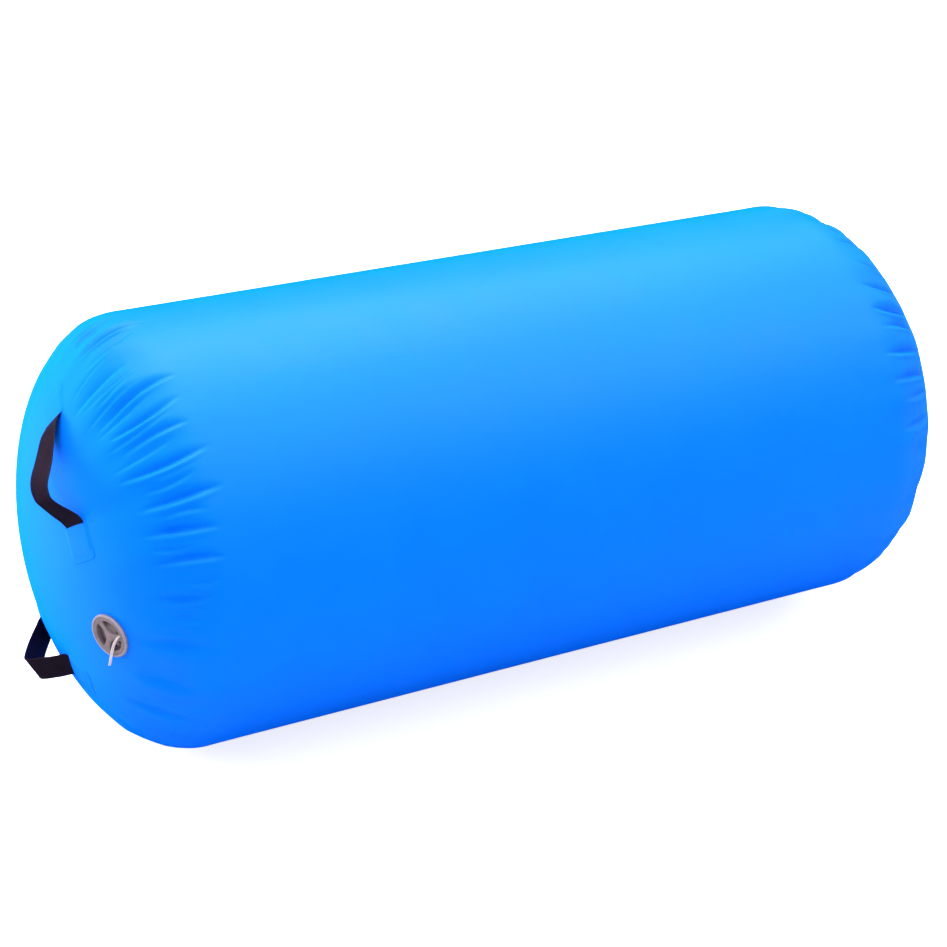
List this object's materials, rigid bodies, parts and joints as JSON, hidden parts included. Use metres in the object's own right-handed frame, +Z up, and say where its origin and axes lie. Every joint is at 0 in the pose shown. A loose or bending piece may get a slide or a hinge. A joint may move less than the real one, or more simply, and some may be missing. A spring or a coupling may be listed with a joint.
{
  "type": "inflatable air roll",
  "caption": "Inflatable gymnastics roll: blue PVC air cylinder with bulging ends, webbing carry handles on both ends and a screw-capped inflation valve.",
  "frame": {"origin": "on the floor under the middle of the roll", "axes": "+Z up, +X along the roll from the valve end to the far end, -Y towards the side the valve and the near end's handles are turned to"},
  "size_m": [1.404, 0.5998, 0.599],
  "materials": {
    "pvc_skin": "satin coated fabric",
    "black_webbing": "woven webbing",
    "grey_plastic": "satin",
    "seal_rubber": "matt",
    "spring_steel": "drawn",
    "white_cord": "braided"
  },
  "bodies": {
    "roll": {"side_wall": "pvc_skin", "near_end_disc": "pvc_skin", "far_end_disc": "pvc_skin", "near_seam_tape": "pvc_skin", "far_seam_tape": "pvc_skin", "lap_seam_tape": "pvc_skin", "valve_body": "grey_plastic", "valve_gasket": "seal_rubber", "valve_lock_ring": "grey_plastic", "valve_spring": "spring_steel", "near_upper_handle_ends": "black_webbing", "near_upper_handle_patches": "pvc_skin", "near_lower_handle_ends": "black_webbing", "near_lower_handle_patches": "pvc_skin", "far_upper_handle_ends": "black_webbing", "far_upper_handle_patches": "pvc_skin", "far_lower_handle_ends": "black_webbing", "far_lower_handle_patches": "pvc_skin"},
    "near_upper_handle": {"near_upper_handle_loop": "black_webbing"},
    "near_lower_handle": {"near_lower_handle_loop": "black_webbing"},
    "far_upper_handle": {"far_upper_handle_loop": "black_webbing"},
    "far_lower_handle": {"far_lower_handle_loop": "black_webbing"},
    "cap_carrier": {"cap_seal": "seal_rubber"},
    "cap": {"valve_cap": "grey_plastic", "cap_cord": "white_cord"},
    "valve_plate": {"diaphragm_plate": "grey_plastic", "diaphragm_seal": "seal_rubber"},
    "stem": {"valve_stem": "grey_plastic", "stem_clip": "spring_steel"}
  },
  "joints": [
    {"name": "near_upper_handle_swing", "type": "hinge", "parent": "roll", "child": "near_upper_handle", "pos_m": [-0.64648, -0.08162, 0.4496], "axis": [-0.0879, -0.7532, -0.6519], "range_deg": [-35, 35]},
    {"name": "near_lower_handle_swing", "type": "hinge", "parent": "roll", "child": "near_lower_handle", "pos_m": [-0.66004, -0.01065, 0.16104], "axis": [0.0056, -0.9983, 0.0585], "range_deg": [-35, 35]},
    {"name": "far_upper_handle_swing", "type": "hinge", "parent": "roll", "child": "far_upper_handle", "pos_m": [0.64648, 0.08162, 0.4496], "axis": [0.0879, 0.7532, -0.6519], "range_deg": [-35, 35]},
    {"name": "far_lower_handle_swing", "type": "hinge", "parent": "roll", "child": "far_lower_handle", "pos_m": [0.66004, 0.01065, 0.16104], "axis": [-0.0056, 0.9983, 0.0585], "range_deg": [-35, 35]},
    {"name": "cap_lift", "type": "slide", "parent": "roll", "child": "cap_carrier", "axis": [-0.8861, -0.4585, -0.0677], "range_m": [0, 0.009]},
    {"name": "cap_turn", "type": "hinge", "parent": "cap_carrier", "child": "cap", "pos_m": [-0.63306, -0.20003, 0.26942], "axis": [-0.8861, -0.4585, -0.0677], "range_deg": [0, 810]},
    {"name": "stem_push", "type": "slide", "parent": "roll", "child": "valve_plate", "axis": [0.8861, 0.4585, 0.0677], "range_m": [0, 0.004], "stiffness_N_per_m": 300, "springref_m": -0.004, "deforming": ["valve_spring"]},
    {"name": "stem_turn", "type": "hinge", "parent": "valve_plate", "child": "stem", "pos_m": [-0.63306, -0.20003, 0.26942], "axis": [-0.8861, -0.4585, -0.0677], "range_deg": [0, 90]}
  ],
  "couplings": [
    {"joint": "cap_lift", "follows": "cap_turn", "m_per_rad": 0.00063662}
  ]
}
